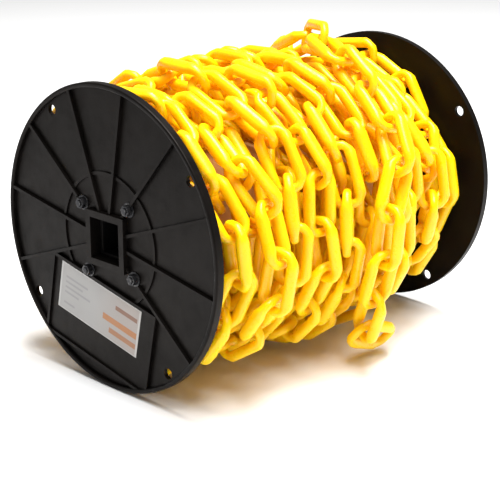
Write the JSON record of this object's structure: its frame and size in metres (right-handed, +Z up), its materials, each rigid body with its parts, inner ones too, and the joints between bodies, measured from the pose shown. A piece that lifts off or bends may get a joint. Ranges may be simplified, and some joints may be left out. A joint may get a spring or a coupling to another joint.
{
  "type": "plastic barrier chain reel",
  "caption": "Flanged plastic reel on its side, wound with plastic barrier chain in several layers, with the loose chain end hanging at the front.",
  "frame": {"origin": "on the reel's axis, midway between the two flanges", "axes": "+X along the reel's axis towards the plain flange, +Z up, -Y to the side where the loose end hangs"},
  "size_m": [0.342, 0.3089, 0.2759],
  "materials": {
    "chain_plastic": "semi-gloss moulded polyethylene",
    "flange_plastic": "satin black moulded plastic",
    "arbor_plastic": "satin black extruded plastic",
    "core_board": "wound kraft board, of about the density of wood",
    "label_paper": "coated paper label with plain bars",
    "fastener_steel": "black oxide steel"
  },
  "bodies": {
    "reel": {"arbor_tube": "arbor_plastic", "chain_turn_01": "chain_plastic", "chain_turn_02": "chain_plastic", "chain_turn_03": "chain_plastic", "chain_turn_04": "chain_plastic", "chain_turn_05": "chain_plastic", "chain_turn_06": "chain_plastic", "chain_turn_07": "chain_plastic", "chain_turn_08": "chain_plastic", "chain_turn_09": "chain_plastic", "chain_turn_10": "chain_plastic", "chain_turn_11": "chain_plastic", "chain_turn_12": "chain_plastic", "chain_turn_13": "chain_plastic", "chain_turn_14": "chain_plastic", "chain_turn_15": "chain_plastic", "chain_turn_16": "chain_plastic", "chain_turn_17": "chain_plastic", "chain_turn_18": "chain_plastic", "chain_turn_19": "chain_plastic", "chain_turn_20": "chain_plastic", "chain_turn_21": "chain_plastic", "chain_turn_22": "chain_plastic", "core_tube": "core_board", "label": "label_paper", "label_flange": "flange_plastic", "plain_flange": "flange_plastic", "rod_nuts_label_side": "fastener_steel", "rod_nuts_plain_side": "fastener_steel", "rod_washers_label_side": "fastener_steel", "rod_washers_plain_side": "fastener_steel", "tie_rods": "fastener_steel"},
    "tail_link_1": {"tail_link_1": "chain_plastic"},
    "tail_link_2": {"tail_link_2": "chain_plastic"},
    "tail_link_3": {"tail_link_3": "chain_plastic"}
  },
  "joints": [
    {"name": "tail_link_1_swing", "type": "hinge", "parent": "reel", "child": "tail_link_1", "pos_m": [-0.0013, -0.14594, -0.02631], "axis": [-0.0965, -0.9937, -0.0561], "range_deg": [-4, 15]},
    {"name": "tail_link_2_swing", "type": "hinge", "parent": "tail_link_1", "child": "tail_link_2", "pos_m": [0.00043, -0.13291, -0.06294], "axis": [-0.9865, 0.1635, 0.0109], "range_deg": [-5, 30]},
    {"name": "tail_link_3_swing", "type": "hinge", "parent": "tail_link_2", "child": "tail_link_3", "pos_m": [0.00891, -0.11668, -0.09702], "axis": [0.2177, 0.8591, 0.4633], "range_deg": [-5, 40]}
  ]
}
